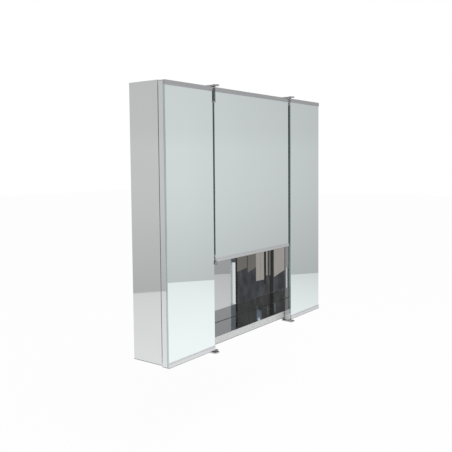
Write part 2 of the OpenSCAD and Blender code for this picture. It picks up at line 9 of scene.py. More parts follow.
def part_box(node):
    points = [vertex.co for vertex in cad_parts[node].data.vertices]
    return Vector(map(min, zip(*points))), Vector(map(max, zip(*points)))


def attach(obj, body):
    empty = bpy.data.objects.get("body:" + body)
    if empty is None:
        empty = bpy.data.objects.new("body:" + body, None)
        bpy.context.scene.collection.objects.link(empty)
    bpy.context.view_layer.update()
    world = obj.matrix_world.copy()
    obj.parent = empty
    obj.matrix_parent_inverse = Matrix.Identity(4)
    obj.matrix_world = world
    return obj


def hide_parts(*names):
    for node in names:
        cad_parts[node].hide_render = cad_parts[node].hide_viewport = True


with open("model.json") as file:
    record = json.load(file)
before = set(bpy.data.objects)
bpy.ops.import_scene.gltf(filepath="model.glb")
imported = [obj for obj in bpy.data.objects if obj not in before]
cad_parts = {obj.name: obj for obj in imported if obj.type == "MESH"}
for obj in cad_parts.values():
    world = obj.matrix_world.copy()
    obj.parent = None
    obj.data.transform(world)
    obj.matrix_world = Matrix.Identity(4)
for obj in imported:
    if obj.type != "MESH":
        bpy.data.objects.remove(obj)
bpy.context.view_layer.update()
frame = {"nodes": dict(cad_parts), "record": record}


# Case sheets
# The box of the cabinet is folded from bright stainless sheet, 1.2 mm thick,
# whose outside mirrors the room. The rail under the niche is brushed. Each
# sheet's edges are deburred, and the front returns are press-brake folds.
class Wire:
    """An output socket of a shader tree. Sums and products add Math nodes."""

    def __init__(self, tree, socket=None):
        self.tree = tree
        self.socket = socket

    def node(self, kind, settings=None, inputs=None, output=0, stops=None):
        """Adds a node, sets it up, feeds its inputs and returns one of its outputs."""
        made = self.tree.nodes.new(kind)
        for name, value in (settings or {}).items():
            setattr(made, name, value)
        if stops:
            made.color_ramp.elements[0].position, made.color_ramp.elements[0].color = stops[0]
            made.color_ramp.elements[1].position, made.color_ramp.elements[1].color = stops[-1]
            for position, colour in stops[1:-1]:
                made.color_ramp.elements.new(position).color = colour
        for name, value in (inputs or {}).items():
            if isinstance(value, Wire):
                self.tree.links.new(value.socket, made.inputs[name])
            else:
                made.inputs[name].default_value = value
        return Wire(self.tree, made.outputs[output]) if len(made.outputs) else None

    def math(self, operation, other):
        return self.node("ShaderNodeMath", {"operation": operation}, {0: self, 1: other})

    def __add__(self, other):
        return self.math("ADD", other)

    def __mul__(self, other):
        return self.math("MULTIPLY", other)

    __radd__ = __add__
    __rmul__ = __mul__

    def mix(self, low, high):
        """The colour low where this wire is 0 and high where it is 1."""
        return self.node("ShaderNodeMix", {"data_type": "RGBA"}, {0: self, 6: low, 7: high}, 2)


def new_material(name):
    """An empty material, and the wire that its nodes start from."""
    made = bpy.data.materials.new(name)
    made.use_nodes = True
    made.node_tree.nodes.clear()
    return made, Wire(made.node_tree)


def object_noise(start, scale, stretch=(1, 1, 1), detail=2.0, roughness=0.5):
    """Noise on the piece's own coordinates, stretched along its axes."""
    place = start.node("ShaderNodeTexCoord", output="Object")
    place = start.node("ShaderNodeMapping", inputs={"Vector": place, "Scale": stretch})
    return start.node(
        "ShaderNodeTexNoise",
        inputs={"Vector": place, "Scale": scale, "Detail": detail, "Roughness": roughness},
    )


def surface(start, **inputs):
    """A Principled surface. Its inputs are written with underscores for spaces."""
    named = {name.replace("_", " "): value for name, value in inputs.items()}
    shader = start.node("ShaderNodeBsdfPrincipled", inputs=named)
    start.node("ShaderNodeOutputMaterial", inputs={"Surface": shader})


def bumped(start, height, distance):
    """The surface's own direction, tilted by a height. distance is in metres."""
    return start.node("ShaderNodeBump", inputs={"Height": height, "Distance": distance, "Strength": 1.0})


def rolled_steel(name, dark, light, rough, grain_along, grain_depth, wave_depth=0.0, metal=1.0):
    """Stainless sheet: a fine grain along one axis, faint clouds, and a slight wave of the sheet."""
    made, start = new_material(name)
    along = {"X": (0.03, 1, 1), "Z": (1, 1, 0.03)}[grain_along]
    grain = object_noise(start, scale=1500, stretch=along, detail=3)
    clouds = object_noise(start, scale=9, detail=3)
    waves = object_noise(start, scale=5, detail=1)
    tone = grain * 0.5 + clouds * 0.5
    height = grain * grain_depth + waves * wave_depth
    surface(
        start,
        Base_Color=tone.mix(dark, light),
        Metallic=metal,
        Roughness=(grain * 0.5 + clouds * 0.4 + 0.55) * rough,
        Normal=bumped(start, height, 1.0),
    )
    return made


MERGED_WITHIN = 0.000002
FLAT_WITHIN = math.radians(1)
CORNER_OVER = math.radians(40)
CUT_WITHIN = 0.0000001


def softened(node, radius, materials, choose=None, cuts=()):
    """A CAD piece with its corners merged and its edges rounded, shown in the node's place.

    choose gives a face's material number from its centre and normal. cuts are planes, each a
    point and a normal, that split the faces first, so that a narrow line can have its own material."""
    shape = bmesh.new()
    shape.from_mesh(frame["nodes"][node].data)
    bmesh.ops.remove_doubles(shape, verts=shape.verts, dist=MERGED_WITHIN)
    bmesh.ops.dissolve_limit(shape, angle_limit=FLAT_WITHIN, verts=shape.verts, edges=shape.edges)
    corners = [e for e in shape.edges if len(e.link_faces) == 2 and e.calc_face_angle() > CORNER_OVER]
    bmesh.ops.bevel(
        shape, geom=corners, offset=radius, offset_type="OFFSET", affect="EDGES", segments=2,
        profile=0.5, clamp_overlap=True, material=-1,
    )
    for point, normal in cuts:
        everything = shape.verts[:] + shape.edges[:] + shape.faces[:]
        bmesh.ops.bisect_plane(shape, geom=everything, plane_co=point, plane_no=normal, dist=CUT_WITHIN)
    shown_for(node, shape, materials, choose)


BODIES = frame["record"]["behaviour"]["bodies"]
BODY_OF = {node: body for body, nodes in BODIES.items() for node in nodes}
LARGE_FACE = 0.00002
ALONG_AXIS = 0.9999


def shown_for(node, shape, materials, choose=None):
    """Ends a piece's bmesh and shows it in place of its CAD node. Only large flat faces are shaded flat."""
    for face in shape.faces:
        flat = max(abs(axis) for axis in face.normal) > ALONG_AXIS and face.calc_area() > LARGE_FACE
        face.smooth = not flat
        if choose:
            face.material_index = choose(face.calc_center_median(), face.normal)
    piece = made_of(node + "_piece", shape, materials)
    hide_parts(node)
    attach(piece, BODY_OF[node])


def made_of(name, shape, materials):
    """Turns a bmesh into an object at the origin, with its materials in order."""
    mesh = bpy.data.meshes.new(name)
    shape.to_mesh(mesh)
    shape.free()
    for material in materials:
        mesh.materials.append(material)
    made = bpy.data.objects.new(name, mesh)
    bpy.context.scene.collection.objects.link(made)
    return made


SHEET_EDGE = 0.00035
SHADE_STRIP_HEIGHT = 0.0018
UP = Vector((0, 0, 1))
side_steel = rolled_steel(
    "side_sheet", (0.69, 0.70, 0.70, 1), (0.75, 0.76, 0.76, 1),
    rough=0.03, grain_along="Z", grain_depth=0.0000005,
)
# Painted shade: a darker, duller strip along the lowest edge of the case sides, the front rail and the
# doors' bottom rails stands for the shadow under that edge.
lower_edge_shade_steel = rolled_steel(
    "bottom_edge_painted_shade", (0.30, 0.30, 0.31, 1), (0.42, 0.42, 0.43, 1),
    rough=0.4, grain_along="X", grain_depth=0.000004, metal=0.3,
)


def with_shaded_edge_strip(node, radius, material, height=SHADE_STRIP_HEIGHT):
    """A piece whose lowest strip is darker and duller: painted shade along its lower edge."""
    line_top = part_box(node)[0] + UP * height

    def strip_face(centre, normal):
        return int(centre.z < line_top.z)

    softened(node, radius, [material, lower_edge_shade_steel], strip_face, [(line_top, UP)])


for node in ("case_left_side", "case_right_side"):
    with_shaded_edge_strip(node, SHEET_EDGE, side_steel)
cross_steel = rolled_steel(
    "cross_sheet", (0.66, 0.665, 0.665, 1), (0.73, 0.735, 0.735, 1),
    rough=0.12, grain_along="X", grain_depth=0.000003,
)
for node in ("case_top", "case_bottom"):
    softened(node, SHEET_EDGE, [cross_steel])
rail_steel = rolled_steel(
    "brushed_rail_sheet", (0.76, 0.765, 0.77, 1), (0.86, 0.865, 0.87, 1),
    rough=0.34, grain_along="X", grain_depth=0.000005, metal=0.2,
)
with_shaded_edge_strip("front_rail", SHEET_EDGE, rail_steel)


# Niche and inside sheets
# The niche is lined with polished stainless sheet, so it mirrors the room. Its
# two side walls are the partitions, which carry on up behind the doors. A dark
# line along the foot of its back is the joint with its floor.
wall_steel = rolled_steel(
    "polished_wall_sheet", (0.55, 0.56, 0.57, 1), (0.61, 0.62, 0.63, 1),
    rough=0.012, grain_along="Z", grain_depth=0.0000002, wave_depth=0.00001,
)
level_steel = rolled_steel(
    "polished_level_sheet", (0.50, 0.51, 0.52, 1), (0.60, 0.61, 0.62, 1),
    rough=0.05, grain_along="X", grain_depth=0.000001, wave_depth=0.00001,
)
for node in ("left_partition", "right_partition"):
    softened(node, SHEET_EDGE, [wall_steel])
joint_dark = rolled_steel(
    "floor_joint_shadow", (0.10, 0.11, 0.11, 1), (0.16, 0.17, 0.17, 1),
    rough=0.5, grain_along="X", grain_depth=0.000004, metal=0.2,
)
JOINT_LINE = 0.0011
joint_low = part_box("niche_floor")[1].z
joint_high = joint_low + JOINT_LINE
niche_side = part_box("niche_floor")[1].x


def joint_face(centre, normal):
    in_niche = abs(centre.x) < niche_side and joint_low < centre.z < joint_high
    return int(in_niche and normal.y < -0.5)


level_cuts = [((0, 0, height), UP) for height in (joint_low, joint_high)]
side_cuts = [((side, 0, 0), (1, 0, 0)) for side in (niche_side, -niche_side)]
softened("back_panel", SHEET_EDGE, [wall_steel, joint_dark], joint_face, level_cuts + side_cuts)
for node in ("niche_floor", "niche_ceiling"):
    softened(node, SHEET_EDGE, [level_steel])


# Glass shelves
# Float glass, 5 mm thick, with ground edges that look green. Each shelf lies
# on four steel studs.
def float_glass(name, colour, rough):
    made, start = new_material(name)
    haze = object_noise(start, scale=30, detail=3)
    surface(start, Base_Color=colour, Roughness=rough + haze * 0.02, IOR=1.5, Transmission_Weight=1.0)
    return made


shelf_glass = float_glass("clear_shelf_glass", (0.93, 0.985, 0.965, 1), rough=0.0)
shelf_edge = float_glass("green_shelf_edge", (0.50, 0.78, 0.68, 1), rough=0.12)
ARRIS = 0.0006
FACING = 0.9


def shelf_face(centre, normal):
    return 0 if abs(normal.z) > FACING else 1


for shelf in ("left_lower", "left_upper", "middle", "right_lower", "right_upper"):
    softened(shelf + "_shelf", ARRIS, [shelf_glass, shelf_edge], shelf_face)


# Small steel parts
# Studs and strike plates are bright zinc. Hinge plates, pins, the arms' eyes
# and the middle bracket are plain steel that has gone a little dull. The leaves
# of the arms are a paler copy of that steel, which is painted light.
def plated_steel(name, dark, light, rough, metal=1.0):
    made, start = new_material(name)
    mottle = object_noise(start, scale=220, detail=4, roughness=0.6)
    wear = object_noise(start, scale=45)
    surface(
        start,
        Base_Color=(mottle * 0.6 + wear * 0.4).mix(dark, light),
        Metallic=metal,
        Roughness=rough + mottle * 0.12 + wear * 0.06,
        Normal=bumped(start, mottle, 0.00001),
    )
    return made


bright_zinc = plated_steel("bright_zinc", (0.50, 0.50, 0.51, 1), (0.66, 0.66, 0.67, 1), rough=0.18)
dull_steel = plated_steel("dull_hinge_steel", (0.40, 0.40, 0.405, 1), (0.60, 0.595, 0.59, 1), rough=0.26)
# Painted light: the leaves of the arms are a paler, partly matt copy of the hinge steel, and their eyes
# keep the hinge steel.
leaf_steel = plated_steel(
    "arm_leaf_painted_light", (0.74, 0.74, 0.73, 1), (0.86, 0.86, 0.85, 1), rough=0.34, metal=0.4
)
EYE_REACH = 0.0045
THIN_EDGE = 0.0003
PIN_EDGE = 0.0004
PLATE_EDGE = 0.0005
softened("shelf_studs", PLATE_EDGE, [bright_zinc])


def eye_face(side):
    """Tells the dull faces of an arm's eye, round the pin it turns on, from those of the leaf."""
    low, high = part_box("top_right_pin" if side == "right" else "top_left_pin")
    pin = (low + high) / 2
    return lambda centre, normal: 1 if (centre - pin).xy.length < EYE_REACH else 0


for side in ("left", "middle", "right"):
    softened(side + "_strike", THIN_EDGE, [bright_zinc])
    for end in ("_top_arm", "_bottom_arm"):
        softened(side + end, THIN_EDGE, [leaf_steel, dull_steel], eye_face(side))
for corner in ("top_left", "top_right", "bottom_left", "bottom_right"):
    softened(corner + "_hinge_plate", PLATE_EDGE, [dull_steel])
    softened(corner + "_pin", PIN_EDGE, [dull_steel])
softened("middle_pivot_bracket", PIN_EDGE, [dull_steel])


# Plastic and rubber parts
# The spacer rings are grey plastic mouldings. The catch housings and the sleeve
# of the middle pivot's pin are black ones, and the bumpers are soft rubber.
def moulded(name, dark, light, rough, fine):
    made, start = new_material(name)
    skin = object_noise(start, scale=fine, detail=3)
    surface(
        start,
        Base_Color=skin.mix(dark, light),
        Roughness=rough + skin * 0.15,
        Normal=bumped(start, skin, 0.00003),
    )
    return made


black_moulding = moulded(
    "black_moulding", (0.012, 0.012, 0.013, 1), (0.03, 0.03, 0.032, 1), rough=0.35, fine=900
)
black_rubber = moulded(
    "black_rubber", (0.015, 0.015, 0.015, 1), (0.035, 0.034, 0.033, 1), rough=0.6, fine=500
)
grey_moulding = moulded(
    "grey_moulding", (0.10, 0.115, 0.12, 1), (0.16, 0.175, 0.18, 1), rough=0.35, fine=900
)
RING_EDGE = 0.0002
MOULDED_EDGE = 0.0004
BUMPER_EDGE = 0.0006
softened("hinge_spacers", RING_EDGE, [grey_moulding])
softened("middle_pivot_pin", MOULDED_EDGE, [black_moulding])
softened("door_bumpers", BUMPER_EDGE, [black_rubber])
POLE_REACH = 0.003
catch_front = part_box("magnetic_catches")[0].y


def catch_face(centre, normal):
    """The pole faces at a catch's front are steel."""
    return 1 if normal.y < -FACING and centre.y < catch_front + POLE_REACH else 0


softened("magnetic_catches", MOULDED_EDGE, [black_moulding, bright_zinc], catch_face)


# Screws
# Machine screws with low domed heads, cross recesses and threaded shanks. Four
# hold each pair of arms to a stile, two each hinge plate and two the bracket.
# The shares are of the head's radius or height, or of the shank's radius.
ROUND = 24
THREAD_PITCH = 0.0005
THREAD_DEPTH = 0.0001
ROWS_PER_TURN = 4
DOME_FALL = 0.45
RECESS_FLOOR = 0.3
RECESS_FOOT = (0.42, 0.08)
RECESS_MOUTH = (0.60, 0.13)
DOME_RINGS = (0.75, 0.9, 0.98)
RIM_CHAMFER = 0.06
TIP_TAPER = 0.6
RIM_FROM = 0.95
TIP_WITHIN = 0.00001


def ring(radius, height):
    """A ring of points, with one of them on the x axis."""
    turns = [math.tau * step / ROUND for step in range(ROUND)]
    return [Vector((radius * math.cos(turn), radius * math.sin(turn), height)) for turn in turns]


def cross(reach, half, dome):
    """The outline of a cross recess. Its points stand beside the points of a ring."""
    middle = (reach + half) / 2
    arm = [(reach, 0), (reach, half), (middle, half), (half, half), (half, middle), (half, reach)]
    points = []
    for quarter in range(4):
        for x, y in arm:
            points.append(Vector((x, y, dome(math.hypot(x, y)))))
        arm = [(-y, x) for x, y in arm]
    return points


def thread(radius, start_z, end_z):
    """Rings along a shank, whose radius rises and falls along a helix."""
    rows = round((start_z - end_z) / THREAD_PITCH * ROWS_PER_TURN)
    rings = []
    for row in range(rows + 1):
        height = start_z + (end_z - start_z) * row / rows
        points = ring(1, height)
        for step, point in enumerate(points):
            phase = (row / ROWS_PER_TURN + step / ROUND) % 1
            point.xy *= radius - THREAD_DEPTH * (1 - abs(2 * phase - 1))
        rings.append(points)
    return rings


def screw_rings(head_r, head_h, shank_r, length):
    """A screw on the z axis. Its head sits on z = 0 and points up."""
    def dome(radius):
        return head_h * (1 - DOME_FALL * (radius / head_r) ** 2)

    def level(radius):
        return head_h * RECESS_FLOOR

    tip_r = shank_r * TIP_TAPER
    rings = [cross(*[head_r * share for share in RECESS_FOOT], level)]
    rings.append(cross(*[head_r * share for share in RECESS_MOUTH], dome))
    rings += [ring(head_r * share, dome(head_r * share)) for share in DOME_RINGS]
    rings.append(ring(head_r, dome(head_r) - head_h * RIM_CHAMFER))
    rings += [ring(head_r, 0), ring(shank_r, 0)]
    rings += thread(shank_r, -shank_r, tip_r - length)
    rings.append(ring(tip_r, -length))
    return rings


def loose_parts(shape):
    """The vertices of a mesh, part by part."""
    left = set(shape.verts)
    parts = []
    while left:
        part, border = set(), [left.pop()]
        while border:
            vertex = border.pop()
            part.add(vertex)
            near = [edge.other_vert(vertex) for edge in vertex.link_edges]
            border += [other for other in near if other in left]
            left.difference_update(near)
        parts.append(part)
    return parts


def read_screw(part, axis):
    """A plain CAD screw along the x (0) or z (2) axis: its seat, direction and sizes."""
    low = Vector([min(vertex.co[i] for vertex in part) for i in range(3)])
    high = Vector([max(vertex.co[i] for vertex in part) for i in range(3)])
    seat = (low + high) / 2
    reach = {}
    for vertex in part:
        aside = vertex.co - seat
        aside[axis] = 0
        reach[vertex] = aside.length
    head_r = max(reach.values())
    rim = [vertex.co[axis] for vertex in part if reach[vertex] > head_r * RIM_FROM]
    inner, outer = sorted((min(rim), max(rim)), key=lambda place: abs(place - seat[axis]))
    tip = low[axis] + high[axis] - outer
    shank_r = max(reach[vertex] for vertex in part if abs(vertex.co[axis] - tip) < TIP_WITHIN)
    seat[axis] = inner
    outward = Vector((0, 0, 0))
    outward[axis] = math.copysign(1, outer - tip)
    return seat, outward, screw_rings(head_r, abs(outer - inner), shank_r, abs(inner - tip))


SCREW_AXES = {"hinge_screws": 2, "left_arm_screws": 0, "middle_arm_screws": 0, "right_arm_screws": 0}
for node, axis in SCREW_AXES.items():
    plain = bmesh.new()
    plain.from_mesh(frame["nodes"][node].data)
    bmesh.ops.remove_doubles(plain, verts=plain.verts, dist=MERGED_WITHIN)
    screws = bmesh.new()
    for part in loose_parts(plain):
        seat, outward, rings = read_screw(part, axis)
        turn = Matrix.Translation(seat) @ outward.to_track_quat("Z", "X").to_matrix().to_4x4()
        loops = [[screws.verts.new(turn @ point) for point in points] for points in rings]
        for upper, lower in zip(loops, loops[1:]):
            for step in range(ROUND):
                screws.faces.new((upper[step], upper[step - 1], lower[step - 1], lower[step]))
        screws.faces.new(loops[0])
        screws.faces.new(reversed(loops[-1]))
    plain.free()
    bmesh.ops.recalc_face_normals(screws, faces=screws.faces)
    shown_for(node, screws, [bright_zinc])


# Door frames
# Each door has two aluminium stiles behind the glass and two rails that wrap
# its upper and lower ends. All are extruded and anodised: the rails and the
# middle door's stiles are satin, and the side doors' stiles are polished.
def anodised(name, dark, light, rough, along, line_rough=0.10, line_depth=0.000004):
    """Aluminium with the fine drawn lines of its die along one axis."""
    made, start = new_material(name)
    stretch = {"X": (0.01, 1, 1), "Z": (1, 1, 0.01)}[along]
    lines = object_noise(start, scale=2200, stretch=stretch)
    clouds = object_noise(start, scale=14)
    surface(
        start,
        Base_Color=(lines * 0.6 + clouds * 0.4).mix(dark, light),
        Metallic=1.0,
        Roughness=rough + lines * line_rough,
        Normal=bumped(start, lines, line_depth),
    )
    return made


STILE_TONES = (0.70, 0.705, 0.72, 1), (0.78, 0.785, 0.80, 1)
polished_stile = anodised(
    "polished_stile", *STILE_TONES, rough=0.004, along="Z", line_rough=0.01, line_depth=0.0000002
)
satin_stile = anodised("satin_stile", *STILE_TONES, rough=0.35, along="Z")
bottom_rail_look = anodised(
    "anodised_rail", (0.68, 0.685, 0.695, 1), (0.78, 0.785, 0.795, 1), rough=0.24, along="X"
)
# The top rails are a darker copy of the rails' aluminium: painted shade.
shaded_top_rail_look = anodised(
    "anodised_rail_painted_shade", (0.50, 0.505, 0.515, 1), (0.59, 0.595, 0.605, 1), rough=0.24, along="X"
)
cover_sheet = rolled_steel(
    "door_cover_sheet", (0.66, 0.66, 0.66, 1), (0.76, 0.76, 0.76, 1),
    rough=0.28, grain_along="Z", grain_depth=0.000004, metal=0.5,
)
RAIL_EDGE = 0.00012
RAIL_SHADE_HEIGHT = 0.0012
for side, stiles, stile_look in (
    ("left", ("outer", "inner"), polished_stile),
    ("middle", ("hinge", "free"), satin_stile),
    ("right", ("outer", "inner"), polished_stile),
):
    for stile in stiles:
        softened(f"{side}_{stile}_stile", THIN_EDGE, [stile_look])
    softened(side + "_top_rail", RAIL_EDGE, [shaded_top_rail_look])
    # The lowest strip of each bottom rail is painted shade: a darker line along its lower edge.
    with_shaded_edge_strip(side + "_bottom_rail", RAIL_EDGE, bottom_rail_look, RAIL_SHADE_HEIGHT)
    softened(side + "_back_cover", THIN_EDGE, [cover_sheet])


# Rail end plugs
# Grey plastic plugs close the hollow of each top rail above the glass. They
# press in flush with the rail's ends.
PLUG_DEPTH = 0.004
RAIL_WALL = 0.0015
DISH_RIM = 0.0005
DISH_DEPTH = 0.0003
PLUG_EDGE = 0.0002


def block(low, high):
    """A box between two corners."""
    shape = bmesh.new()
    bmesh.ops.create_cube(shape, size=1)
    bmesh.ops.scale(shape, vec=high - low, verts=shape.verts)
    bmesh.ops.translate(shape, vec=(low + high) / 2, verts=shape.verts)
    return shape


plug_plastic = moulded(
    "grey_end_plug", (0.40, 0.41, 0.42, 1), (0.50, 0.51, 0.52, 1), rough=0.4, fine=700
)
for side in ("left", "middle", "right"):
    rail_low, rail_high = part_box(side + "_top_rail")
    glass_low, glass_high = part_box(side + "_mirror")
    for end, left_x, outward in (("west", rail_low.x, -1), ("east", rail_high.x - PLUG_DEPTH, 1)):
        low = Vector((left_x, glass_low.y, glass_high.z))
        high = Vector((left_x + PLUG_DEPTH, glass_high.y, rail_high.z - RAIL_WALL))
        plug = block(low, high)
        outer_face = max(plug.faces, key=lambda face: face.normal.x * outward)
        bmesh.ops.inset_region(plug, faces=[outer_face], thickness=DISH_RIM, depth=-DISH_DEPTH)
        bmesh.ops.bevel(
            plug, geom=[e for e in plug.edges if e.calc_face_angle(0) > 1], offset=PLUG_EDGE,
            offset_type="OFFSET", affect="EDGES", segments=2, profile=0.5, clamp_overlap=True, material=-1,
        )
        piece = made_of(f"{side}_{end}_rail_plug", plug, [plug_plastic])
        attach(piece, side + "_door")


# Mirrors
# Silvered float glass, 5 mm thick, with a fine arris ground on each edge. The
# front mirrors the room with a faint green cast; the cut edges are green.
def silvering(name):
    made, start = new_material(name)
    smears = object_noise(start, scale=7, stretch=(1, 1, 0.35), detail=5, roughness=0.55)
    surface(
        start,
        Base_Color=smears.mix((0.845, 0.91, 0.915, 1), (0.865, 0.93, 0.935, 1)),
        Metallic=1.0,
        Roughness=smears * 0.008,
    )
    return made


def cut_glass(name):
    """A ground edge. It mirrors like metal and glows a little: painted light, standing for light carried
    inside the pane.
    """
    made, start = new_material(name)
    ripple = object_noise(start, scale=260, stretch=(1, 1, 0.1), detail=3)
    surface(
        start,
        Base_Color=ripple.mix((0.36, 0.46, 0.45, 1), (0.47, 0.57, 0.56, 1)),
        Metallic=1.0,
        # Painted light: a faint teal glow on the cut edge, so that it reads lighter in the dark gaps.
        Emission_Color=(0.55, 0.72, 0.70, 1),
        Emission_Strength=0.10,
        Roughness=0.05 + ripple * 0.10,
        Normal=bumped(start, ripple, 0.000004),
    )
    return made


mirror_front = silvering("silvered_glass")
mirror_edge = cut_glass("cut_glass_edge")


def mirror_face(centre, normal):
    return 0 if normal.y < -FACING else 1


for side in ("left", "middle", "right"):
    glass = block(*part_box(side + "_mirror"))
    bmesh.ops.bevel(
        glass, geom=glass.edges[:], offset=ARRIS, offset_type="OFFSET", affect="EDGES", segments=1,
        profile=0.5, material=-1,
    )
    shown_for(side + "_mirror", glass, [mirror_front, mirror_edge], mirror_face)


# Studio
# A white floor below the hanging cabinet and four pale walls round it, which
# the mirrors show. The camera sees only white behind the cabinet.
BLACK = (0, 0, 0, 1)
WHITE = (1, 1, 1, 1)
FLOOR_Z = -0.595
ROOM_TURN = math.radians(36.3)
ALONG = Vector((math.cos(ROOM_TURN), math.sin(ROOM_TURN), 0))
ACROSS = Vector((math.sin(ROOM_TURN), -math.cos(ROOM_TURN), 0))
SIDE_GAP = 2.25
END_GAP = 3.3
WALL_TOP = 2.6


def board(name, centre, right, ends, feet, top, material):
    """An upright stage board, which only the object's own reflections show.

    right is its direction along the floor, ends are its two ends along that from the centre, and feet
    are the heights of its lower corners there."""
    across = Vector((right[0], right[1], 0)).normalized()
    stand = Vector((centre[0], centre[1], 0))
    shape = bmesh.new()
    low = [stand + across * end + UP * foot for end, foot in zip(ends, feet)]
    high = [stand + across * end + UP * top for end in reversed(ends)]
    shape.faces.new([shape.verts.new(corner) for corner in low + high])
    made = made_of(name, shape, [material])
    made.visible_camera = False
    return made


def room_axes(start):
    """The room's own X, Y and Z as three wires."""
    own = start.node("ShaderNodeTexCoord", output="Object")
    split = start.node("ShaderNodeSeparateXYZ", inputs={0: own})
    return [Wire(start.tree, socket) for socket in split.socket.node.outputs]


def fall(wire, near, far, least):
    """1 up to near, falling evenly to least at far."""
    return wire.node(
        "ShaderNodeMapRange",
        inputs={"Value": wire, "From Min": near, "From Max": far, "To Min": 1.0, "To Max": least},
    )


def light_fall(start):
    """1 at the bright end of the room, falling along it."""
    x, y, z = room_axes(start)
    return fall(x * ALONG.x + y * ALONG.y, near=0.25, far=1.15, least=0.82)


def studio_wall(name):
    """A pale grey wall that glows, lightest a quarter of the way up and darker along the room."""
    made, start = new_material(name)
    height = room_axes(start)[2]
    share = start.node(
        "ShaderNodeMapRange", inputs={"Value": height, "From Min": FLOOR_Z, "From Max": WALL_TOP}
    )
    greys = {
        0.0: 0.58, 0.06: 0.635, 0.14: 0.70, 0.19: 0.725, 0.255: 0.735, 0.29: 0.70, 0.37: 0.685,
        0.45: 0.60, 0.6: 0.47, 1.0: 0.40,
    }
    stops = [(part, (grey, grey, grey, 1)) for part, grey in greys.items()]
    grey_wall = start.node("ShaderNodeValToRGB", inputs={0: share}, stops=stops)
    tone = light_fall(start).mix(BLACK, grey_wall)
    glow = start.node("ShaderNodeEmission", inputs={"Color": tone, "Strength": 1.0})
    start.node("ShaderNodeOutputMaterial", inputs={"Surface": glow})
    return made


wall_glow = studio_wall("studio_wall")
for name, centre, right, reach in (
    ("studio_wall_front", ACROSS * SIDE_GAP, ALONG, END_GAP),
    ("studio_wall_back", -ACROSS * SIDE_GAP, ALONG, END_GAP),
    ("studio_wall_right", ALONG * END_GAP, ACROSS, SIDE_GAP),
    ("studio_wall_left", -ALONG * END_GAP, ACROSS, SIDE_GAP),
):
    board(name, centre, right, (-reach, reach), (FLOOR_Z, FLOOR_Z), WALL_TOP, wall_glow)

FLOOR_REACH = 12
FLOOR_TONE = (0.86, 0.86, 0.86, 1)
FLOOR_GLOW = 1.04
GLOW_SHARE = 0.9


def white_floor(name):
    """A matt floor that keeps the cabinet's shadow, and is white to the camera and in mirrors."""
    made, start = new_material(name)
    x, y, z = room_axes(start)
    away = (x * x + y * y).math("POWER", 0.5)
    far_fall = fall(away, near=0.9, far=2.4, least=0.86)
    mirrored = (light_fall(start) * far_fall).mix(BLACK, WHITE)
    to_camera = start.node("ShaderNodeLightPath", output="Is Camera Ray")
    path = to_camera
    for kind in ("Is Glossy Ray", "Is Transmission Ray"):
        path = path + start.node("ShaderNodeLightPath", output=kind)
    matt = start.node("ShaderNodeBsdfDiffuse", inputs={"Color": FLOOR_TONE})
    seen = to_camera.mix(mirrored, WHITE)
    glow = start.node("ShaderNodeEmission", inputs={"Color": seen, "Strength": FLOOR_GLOW})
    both = start.node("ShaderNodeMixShader", inputs={0: path * GLOW_SHARE, 1: matt, 2: glow})
    start.node("ShaderNodeOutputMaterial", inputs={"Surface": both})
    return made


floor_shape = bmesh.new()
bmesh.ops.create_grid(floor_shape, x_segments=1, y_segments=1, size=FLOOR_REACH)
bmesh.ops.translate(floor_shape, vec=UP * FLOOR_Z, verts=floor_shape.verts)
made_of("studio_floor", floor_shape, [white_floor("studio_floor")])


# Boards on the camera's side
# The niche's corner mirror throws the camera's side of the studio back, and so
# do the stiles beside it. Boards stand there for the furniture of a room: dark,
# tan, grey and white ones, which show only after two reflections.
SHEET = 0.0012
NICHE_CORNER = Vector((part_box("right_partition")[1].x - SHEET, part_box("back_panel")[0].y, 0))
TO_CAMERA = Vector((-0.835, -0.550, 0)).normalized()
BOARD_GAP = 0.86


def twice_mirrored(name, colour, second=None):
    """A flat board colour, or a blotchy one between two colours, that one reflection doesn't show."""
    made, start = new_material(name)
    blotches = object_noise(start, scale=40, stretch=(1, 1, 0.4), detail=5) if second else None
    tone = blotches.mix(colour, second) if second else colour
    glow = start.node("ShaderNodeEmission", inputs={"Color": tone, "Strength": 1.0})
    clear = start.node("ShaderNodeBsdfTransparent")
    twice = start.node("ShaderNodeLightPath", output="Glossy Depth").math("GREATER_THAN", 1.5)
    both = start.node("ShaderNodeMixShader", inputs={0: twice, 1: clear, 2: glow})
    start.node("ShaderNodeOutputMaterial", inputs={"Surface": both})
    return made


pale_tan = twice_mirrored("pale_tan_board", (0.98, 0.90, 0.82, 1), (0.88, 0.81, 0.73, 1))
deep_tan = twice_mirrored("deep_tan_board", (0.47, 0.43, 0.37, 1), (0.40, 0.37, 0.32, 1))
dark_cloth = twice_mirrored("dark_board", (0.03, 0.03, 0.03, 1), (0.29, 0.295, 0.315, 1))
brown_cloth = twice_mirrored("brown_board", (0.06, 0.055, 0.05, 1), (0.33, 0.325, 0.31, 1))
white_paint = twice_mirrored("pale_board", (1.0, 1.0, 1.0, 1))
mauve_grey = twice_mirrored("middle_grey_board", (0.55, 0.53, 0.54, 1))
soft_grey = twice_mirrored("soft_grey_board", (0.95, 0.96, 0.97, 1))
slate_grey = twice_mirrored("grey_board", (0.34, 0.36, 0.37, 1))
dim_grey = twice_mirrored("dim_board", (0.17, 0.20, 0.20, 1))
lit_white = twice_mirrored("bright_board", (1.5, 1.5, 1.47, 1))
lamp_light = twice_mirrored("lamp_glint", (2.2, 2.6, 3.0, 1))
lamp_haze = twice_mirrored("lamp_haze", (0.40, 0.46, 0.52, 1), (0.60, 0.68, 0.76, 1))
brown_black = twice_mirrored("board_edge", (0.09, 0.08, 0.075, 1))
card_white = twice_mirrored("light_card", (1.0, 1.0, 1.0, 1))
ON_FLOOR = (FLOOR_Z + 0.001, FLOOR_Z + 0.001)
TAN_TOP = -0.215
